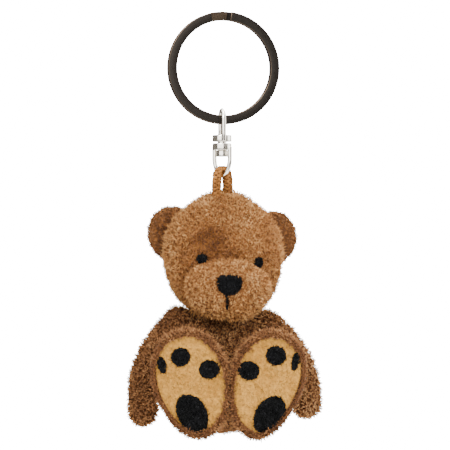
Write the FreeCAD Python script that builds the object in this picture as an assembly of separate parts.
import FreeCAD, Part
import math
import os
from FreeCAD import Matrix, Vector

# Plush bear keychain, hanging from its split ring. Millimetres, +Z up, the bear faces -Y.
# The origin is the centre of the split ring.

# Split ring: flat wire coiled nearly twice
ring_outer_r = 15.0
ring_band = 2.4
coil_thickness = 1.25
coil_gap = 0.10
ring_yaw = 10.0
front_coil_start = 7.5
joggle_start = 346.0
joggle_end = 364.0
back_coil_end = 702.0

# Swivel: a wire eye on a disc, a rivet pin and a wire bow on a second disc
hang_x = -0.3
eye_arch_r = 2.5
eye_wire_r = 0.65
band_mid_z = -(ring_outer_r - ring_band / 2)
disc_r = 2.6
eye_disc_top = -17.8
eye_disc_bottom = -19.6
bow_disc_top = -20.0
bow_disc_bottom = -21.8
pin_r = 1.2
pin_bore_clearance = 0.05
pin_head_r = 1.6
pin_head_bottom = -23.6
pin_head_gap = 0.1
bow_wire_r = 0.6
bow_half_width = 2.45
bow_corner_z = -25.8
bow_vertex_z = -29.2
bow_bend_r = 1.3
bow_turn = -34.0

# Hanging loop: a knitted cord over the bow, both tails sewn into the crown seam
loop_turn = 30.0
loop_crown_r = 1.85
loop_crown_wire_r = 0.47
loop_cord_r = 1.1
loop_cone_length = 1.8
loop_foot_half = 1.75
loop_foot_z = -33.5
loop_tail_z = -41.0

# Bear: the head's centre and the sewn body under it
bear_y = 3.0
head_z = -49.6
head_axes = (15.3, 12.8, 16.8)
head_yaw = 10.0
head_roll = 3.5
cloth = 1.0
muzzle_drop = 8.7
muzzle_forward = 8.5
muzzle_axes = (11.0, 8.2, 8.3)
nose_width = 6.8
nose_height = 5.6
nose_drop = 8.2
mouth_width = 0.7
mouth_drop = (10.9, 14.6)
eye_r = 1.25
eye_spread = 7.5
eye_drop = 1.0

# Ears: half-round lenses beside the head
ear_axes = (6.6, 2.0, 6.7)
ear_spread = 13.2
ear_rise = 6.0
ear_back = 1.5
ear_gap = 1.2

# Neck: a turned stub of the body's stuffing inside the head
neck_r = 5.0
neck_top = -63.0
neck_clearance = 0.35
head_sweep = (16.0, 17.5)
chin_clear_z = -67.4
chin_clear_y = -4.0

# Torso
torso_axes = (13.0, 10.3, 18.3)
torso_back = 5.0
torso_z = -80.6
seat_z = -97.6
stuffing_gap = 0.6
leg_swing_room = 3.6
stuffing_lap_z = -81.0

# Arms: bent sausages hung from the shoulders; offsets from the shoulder in X and Z
shoulder = (11.6, 1.4, -68.2)
arm_line = ((0, 0), (4.5, -4.7), (7.9, -10.1), (9.6, -15.3), (9.9, -21.5))
arm_radii = (3.6, 3.8, 3.8, 3.7, 3.5)
arm_lift = {"left": -1.0, "right": 2.5}
joint_gap = 0.35

# Legs: short, straight forward, each ending in a large upright foot
hip = (9.3, -1.9, -89.0)
legs_shift = 1.3
hip_r = 6.0
leg_sections = (
    (0.0, 6.0, 6.0, 0.0),
    (6.0, 7.6, 8.8, 1.2),
    (11.0, 9.4, 12.4, 4.2),
    (15.0, 10.0, 14.3, 5.5),
    (18.0, 9.4, 13.6, 5.5),
    (20.0, 7.6, 11.6, 5.5),
)
sole_depth = 17.4
foot_splay = 11.0
toe_pads = ((-6.35, 5.8, 1.1, 2.3), (-0.9, 6.7, 2.65, 2.5), (5.6, 1.9, 2.9, 2.5))
heel_pad = (-1.2, -8.3, 3.8, 5.5)
heel_pad_turn = 19.0

axis_x = Vector(1, 0, 0)
axis_y = Vector(0, 1, 0)
axis_z = Vector(0, 0, 1)
far = 60.0
seam_axis = Vector(1.0, 0.6, 0.3)
seam_turn = 50.0


def write(shape, node):
    shape.exportStep("parts/" + node + ".step")
    print(node, len(shape.Solids), round(shape.Volume, 2), shape.isValid())


def ellipsoid(centre, axes):
    # the sphere's own seam and poles are turned off the planes that the panels are split on
    scale = Matrix()
    scale.scale(*axes)
    ball = turned(Part.makeSphere(1.0), seam_turn, axis=seam_axis).transformGeometry(scale)
    ball.translate(centre)
    return ball


def block(low, high):
    size = Vector(*high) - Vector(*low)
    return Part.makeBox(size.x, size.y, size.z, Vector(*low))


def tube_along(start, end, start_r, end_r):
    run = end - start
    if abs(start_r - end_r) < 1e-6:
        return Part.makeCylinder(start_r, run.Length, start, run)
    return Part.makeCone(start_r, end_r, run.Length, start, run)


def turned(shape, degrees, centre=Vector(0, 0, 0), axis=axis_z):
    copy = shape.copy()
    copy.rotate(centre, axis, degrees)
    return copy


# ---- split ring and swivel ----

def band_section(degrees, low_y):
    angle = math.radians(degrees)
    out = Vector(math.sin(angle), 0, math.cos(angle))
    near = Vector(0, low_y, 0)
    deep = Vector(0, low_y + coil_thickness, 0)
    inner = out * (ring_outer_r - ring_band)
    outer = out * ring_outer_r
    return Part.makePolygon([inner + near, outer + near, outer + deep, inner + deep, inner + near])


def coil(start, end, low_y):
    face = Part.Face(band_section(start, low_y))
    return face.revolve(Vector(0, 0, 0), axis_y, end - start)


def split_ring():
    front_y = -coil_thickness - coil_gap / 2
    back_y = coil_gap / 2
    steps = 6
    sections = []
    for step in range(steps + 1):
        share = step / steps
        ease = share * share * (3 - 2 * share)
        angle = joggle_start + (joggle_end - joggle_start) * share
        sections.append(band_section(angle, front_y + (back_y - front_y) * ease))
    joggle = Part.makeLoft(sections, True, True)
    front = coil(front_coil_start, joggle_start, front_y)
    back = coil(joggle_end, back_coil_end, back_y)
    return turned(front.fuse([joggle, back]).removeSplitter(), ring_yaw)


def swivel_eye():
    pivot = Vector(hang_x, 0, band_mid_z)
    section = Part.Face(Part.Wire(Part.makeCircle(eye_wire_r, pivot + Vector(0, eye_arch_r, 0), axis_z)))
    arch = section.revolve(pivot, axis_x, 180)
    legs = []
    for side in (-1, 1):
        top = pivot + Vector(0, side * eye_arch_r, 0)
        legs.append(tube_along(top, Vector(top.x, top.y, eye_disc_bottom), eye_wire_r, eye_wire_r))
    disc = Part.makeCylinder(disc_r, eye_disc_top - eye_disc_bottom, Vector(hang_x, 0, eye_disc_bottom))
    eye = disc.fuse([arch] + legs)
    bore = Part.makeCylinder(pin_r, 10, Vector(hang_x, 0, eye_disc_bottom - 5))
    return turned(eye.cut(bore), ring_yaw, pivot)


def swivel_pin():
    top = eye_disc_top
    shank = Part.makeCylinder(pin_r, top - pin_head_bottom, Vector(hang_x, 0, pin_head_bottom))
    head_height = bow_disc_bottom - pin_head_gap - pin_head_bottom
    head = Part.makeCylinder(pin_head_r, head_height, Vector(hang_x, 0, pin_head_bottom))
    return shank.fuse(head).removeSplitter()


def swivel_bow():
    corner = Vector(bow_half_width, 0, bow_corner_z)
    vertex = Vector(0, 0, bow_vertex_z)
    top = Vector(bow_half_width, 0, bow_disc_bottom + 0.9)

    def mirrored(point):
        return Vector(-point.x, point.y, point.z)

    route = [mirrored(top), mirrored(corner), vertex, corner, top]
    edges = []
    here = route[0]
    for before, at, after in zip(route, route[1:], route[2:]):
        into = (at - before).normalize()
        out = (after - at).normalize()
        turn = into.getAngle(out)
        reach = bow_bend_r * math.tan(turn / 2)
        start = at - into * reach
        end = at + out * reach
        middle = at + (out - into).normalize() * bow_bend_r * (1 / math.cos(turn / 2) - 1)
        edges.append(Part.LineSegment(here, start).toShape())
        edges.append(Part.Arc(start, middle, end).toShape())
        here = end
    edges.append(Part.LineSegment(here, route[-1]).toShape())
    profile = Part.Wire(Part.makeCircle(bow_wire_r, route[0], axis_z))
    wire = Part.Wire(edges).makePipeShell([profile], True, False)
    disc = Part.makeCylinder(disc_r, bow_disc_top - bow_disc_bottom, Vector(0, 0, bow_disc_bottom))
    bore = Part.makeCylinder(pin_r + pin_bore_clearance, 10, Vector(0, 0, bow_disc_bottom - 5))
    bow = disc.fuse(wire).cut(bore)
    bow.translate(Vector(hang_x, 0, 0))
    return turned(bow, bow_turn, Vector(hang_x, 0, 0))


def bow_bottom():
    flank = math.atan2(bow_half_width, bow_corner_z - bow_vertex_z)
    return bow_vertex_z + bow_bend_r * (1 / math.sin(flank) - 1)


def hanging_loop():
    centre = Vector(0, 0, bow_bottom())
    section = Part.makeCircle(loop_crown_wire_r, centre + Vector(loop_crown_r, 0, 0), axis_z)
    pieces = [Part.Face(Part.Wire(section)).revolve(centre, axis_y, -180)]
    for side in (-1, 1):
        shoulder_at = centre + Vector(side * loop_crown_r, 0, 0)
        full_at = shoulder_at - Vector(0, 0, loop_cone_length)
        foot = Vector(side * loop_foot_half, 0, loop_foot_z)
        tail = Vector(side * loop_foot_half, 0, loop_tail_z)
        pieces.append(tube_along(shoulder_at, full_at, loop_crown_wire_r, loop_cord_r))
        pieces.append(tube_along(full_at, foot, loop_cord_r, loop_cord_r))
        pieces.append(Part.makeSphere(loop_cord_r, foot))
        pieces.append(Part.makeSphere(loop_cord_r, full_at))
        pieces.append(tube_along(foot, tail, loop_cord_r, loop_cord_r))
    loop = pieces[0].fuse(pieces[1:])
    loop.translate(Vector(hang_x, 0, 0))
    return turned(loop, loop_turn, Vector(hang_x, 0, 0))


# ---- head ----

def place_head(shape):
    centre = Vector(hang_x, bear_y, head_z)
    moved = shape.copy()
    moved.translate(centre)
    moved = turned(moved, head_roll, centre, axis_y)
    return turned(moved, head_yaw, centre, axis_z)


def shrunk(axes):
    return tuple(axis - cloth for axis in axes)


def stitched(centre_x, centre_z, half_x, half_z, turn=0.0):
    outline = Part.makeCylinder(1.0, far)
    scale = Matrix()
    scale.scale(half_x, half_z, 1.0)
    outline = outline.transformGeometry(scale)
    outline.rotate(Vector(0, 0, 0), axis_x, 90)
    outline.rotate(Vector(0, 0, 0), axis_y, turn)
    outline.translate(Vector(centre_x, 0, centre_z))
    return outline


def largest(shape):
    return max(shape.Solids, key=lambda solid: solid.Volume)


def head_pieces(loop):
    ball = ellipsoid(Vector(0, 0, 0), head_axes)
    ball_inside = ellipsoid(Vector(0, 0, 0), shrunk(head_axes))
    muzzle_at = Vector(0, -muzzle_forward, -muzzle_drop)
    muzzle = ellipsoid(muzzle_at, muzzle_axes)
    muzzle_inside = ellipsoid(muzzle_at, shrunk(muzzle_axes))
    cover = ball.cut(ball_inside).cut(muzzle_inside)
    parts = {
        "head_panel_front_left": cover.common(block((-far, -far, -far), (0, 0, far))),
        "head_panel_front_right": cover.common(block((0, -far, -far), (far, 0, far))),
        "head_panel_back_left": cover.common(block((-far, 0, -far), (0, far, far))),
        "head_panel_back_right": cover.common(block((0, 0, -far), (far, far, far))),
        "muzzle_panel": muzzle.cut(muzzle_inside).cut(ball),
    }
    for name, side in (("eye_left", -1), ("eye_right", 1)):
        spot = stitched(side * eye_spread, -eye_drop, eye_r, eye_r)
        panel = name.replace("eye", "head_panel_front")
        parts[name] = parts[panel].common(spot)
        parts[panel] = parts[panel].cut(spot)
    nose = stitched(0, -nose_drop, nose_width / 2, nose_height / 2)
    mouth = block((-mouth_width / 2, -far, -mouth_drop[1]), (mouth_width / 2, 0, -mouth_drop[0]))
    mouth = mouth.cut(nose)
    parts["nose_patch"] = parts["muzzle_panel"].common(nose)
    parts["mouth_stitch"] = parts["muzzle_panel"].common(mouth)
    parts["muzzle_panel"] = parts["muzzle_panel"].cut(nose).cut(mouth)
    parts["head_stuffing"] = ball_inside.fuse(muzzle_inside)
    socket = Part.makeCylinder(neck_r + neck_clearance, 40, Vector(hang_x, bear_y, neck_top - 40 + neck_clearance))
    for name in parts:
        placed = place_head(parts[name]).cut(socket)
        parts[name] = largest(placed.cut(loop))
    return parts


def ear_pieces():
    keep_off = ellipsoid(Vector(0, 0, 0), tuple(axis + ear_gap for axis in head_axes))
    parts = {}
    for name, side in (("left", -1), ("right", 1)):
        lens = ellipsoid(Vector(side * ear_spread, ear_back, ear_rise), ear_axes).cut(keep_off)
        front = lens.common(block((-far, -far, -far), (far, ear_back, far)))
        back = lens.common(block((-far, ear_back, -far), (far, far, far)))
        parts["ear_" + name + "_front"] = place_head(front)
        parts["ear_" + name + "_back"] = place_head(back)
    return parts


# ---- torso and limbs ----

def shoulder_at(side):
    return Vector(hang_x + side * shoulder[0], bear_y + shoulder[1], shoulder[2])


def hip_at(side):
    return Vector(hang_x + legs_shift + side * hip[0], bear_y + hip[1], hip[2])


def torso_keep_off():
    bare = []
    sweep = ellipsoid(Vector(hang_x, bear_y, head_z), (head_sweep[0], head_sweep[0], head_sweep[1]))
    bare.append(sweep)
    bare.append(block((-far, -far, chin_clear_z), (far, bear_y + chin_clear_y, 0)))
    bare.append(block((-far, -far, -200), (far, far, seat_z)))
    bare.append(block((-far, -far, -200), (far, bear_y + hip[1] + leg_swing_room, hip[2])))
    for name, side in (("left", -1), ("right", 1)):
        bare.append(place_arm(arm_solid(side, -joint_gap), name, side))
        bare.append(place_leg(leg_loft(side, -joint_gap), side))
    return bare


def torso_pieces():
    centre = Vector(hang_x, bear_y + torso_back, torso_z)
    outer = ellipsoid(centre, torso_axes)
    inner = ellipsoid(centre, shrunk(torso_axes))
    cover = outer.cut(inner)
    stub = Part.makeCylinder(neck_r, neck_top - torso_z, Vector(hang_x, bear_y, torso_z))
    for cutter in torso_keep_off():
        cover = cover.cut(cutter)
    cover = cover.cut(stub)
    hips_front = bear_y + hip[1] + leg_swing_room + stuffing_gap
    filling = ellipsoid(centre, shrunk(shrunk(torso_axes)))
    filling = filling.cut(block((-far, -far, -200), (far, hips_front, stuffing_lap_z)))
    filling = filling.cut(block((-far, -far, -200), (far, far, seat_z + cloth)))
    filling = filling.cut(block((-far, -far, chin_clear_z - cloth), (far, far, far)))
    for side in (-1, 1):
        filling = filling.cut(Part.makeSphere(hip_r + joint_gap, hip_at(side)))
    post = Part.makeCylinder(neck_r, neck_top - chin_clear_z + cloth, Vector(hang_x, bear_y, chin_clear_z - cloth))
    front = block((-far, -far, -200), (far, centre.y, far))
    back_left = block((-far, centre.y, -200), (hang_x, far, far))
    back_right = block((hang_x, centre.y, -200), (far, far, far))
    return {
        "torso_panel_front": cover.common(front),
        "torso_panel_back_left": cover.common(back_left),
        "torso_panel_back_right": cover.common(back_right),
        "torso_stuffing": filling.fuse(post),
    }


def arm_solid(side, thinner):
    start = shoulder_at(side)
    points = [start + Vector(side * out, 0, up) for out, up in arm_line]
    radii = [radius - thinner for radius in arm_radii]
    pieces = []
    for point, radius in zip(points, radii):
        pieces.append(Part.makeSphere(radius, point))
    for index in range(len(points) - 1):
        pieces.append(tube_along(points[index], points[index + 1], radii[index], radii[index + 1]))
    return pieces[0].fuse(pieces[1:])


def place_arm(shape, name, side):
    return turned(shape, -side * arm_lift[name], shoulder_at(side), axis_y)


def arm_pieces(name, side):
    outer = arm_solid(side, 0.0)
    inner = arm_solid(side, cloth)
    cover = outer.cut(inner)
    at = shoulder_at(side)
    front = cover.common(block((-far, -far, -200), (far, at.y, far)))
    back = cover.common(block((-far, at.y, -200), (far, far, far)))
    return {
        "arm_" + name + "_panel_front": place_arm(front, name, side),
        "arm_" + name + "_panel_back": place_arm(back, name, side),
        "arm_" + name + "_stuffing": place_arm(inner, name, side),
    }


def leg_loft(side, thinner):
    at = hip_at(side)
    last = leg_sections[-1][0]
    wires = []
    for forward, half_x, half_z, rise in leg_sections:
        # the foot's flat end moves in or out by the same thickness as its sides
        reach = forward - thinner * forward / last
        centre = at + Vector(0, -reach, rise)
        tall = half_z - thinner
        wide = half_x - thinner
        if tall > wide:
            outline = Part.Ellipse(centre + Vector(0, 0, tall), centre + Vector(wide, 0, 0), centre)
        else:
            outline = Part.Circle(centre, axis_y, wide)
        wires.append(Part.Wire(outline.toShape()))
    body = Part.makeLoft(wires, True, False)
    return body.fuse(Part.makeSphere(hip_r - thinner, at))


def place_leg(shape, side):
    return turned(shape, side * foot_splay, hip_at(side), axis_y)


def leg_pieces(name, side):
    outer = leg_loft(side, 0.0)
    inner = leg_loft(side, cloth)
    cover = outer.cut(inner)
    at = hip_at(side)
    sole_y = at.y - sole_depth
    sole = cover.common(block((-far, -far, -200), (far, sole_y, far)))
    rest = cover.common(block((-far, sole_y, -200), (far, far, far)))
    low_x, high_x = sorted((at.x, at.x + side * far))
    outer_half = rest.common(block((low_x, -far, -200), (high_x, far, far)))
    low_x, high_x = sorted((at.x, at.x - side * far))
    inner_half = rest.common(block((low_x, -far, -200), (high_x, far, far)))
    parts = {}
    centre = Vector(at.x, 0, at.z + leg_sections[-1][3])
    names = ("outer", "middle", "inner")
    pads = [(pad_name + "_toe_pad", pad, 0.0) for pad_name, pad in zip(names, toe_pads)]
    pads.append(("heel_pad", heel_pad, heel_pad_turn))
    for pad_name, (across, up, half_x, half_z), turn in pads:
        cutter = stitched(-side * across, up, half_x, half_z, side * turn)
        cutter.translate(centre)
        parts["foot_" + name + "_" + pad_name] = sole.common(cutter)
        sole = sole.cut(cutter)
    parts["sole_" + name] = sole
    parts["leg_" + name + "_panel_outer"] = outer_half
    parts["leg_" + name + "_panel_inner"] = inner_half
    parts["leg_" + name + "_stuffing"] = inner
    return {node: place_leg(parts[node], side) for node in parts}


os.makedirs("parts", exist_ok=True)
loop = hanging_loop()
nodes = {
    "split_ring": split_ring(),
    "swivel_eye": swivel_eye(),
    "swivel_pin": swivel_pin(),
    "swivel_bow": swivel_bow(),
    "hanging_loop": loop,
}
nodes.update(head_pieces(loop))
nodes.update(ear_pieces())
nodes.update(torso_pieces())
for name, side in (("left", -1), ("right", 1)):
    nodes.update(arm_pieces(name, side))
    nodes.update(leg_pieces(name, side))
for node, shape in nodes.items():
    write(shape, node)
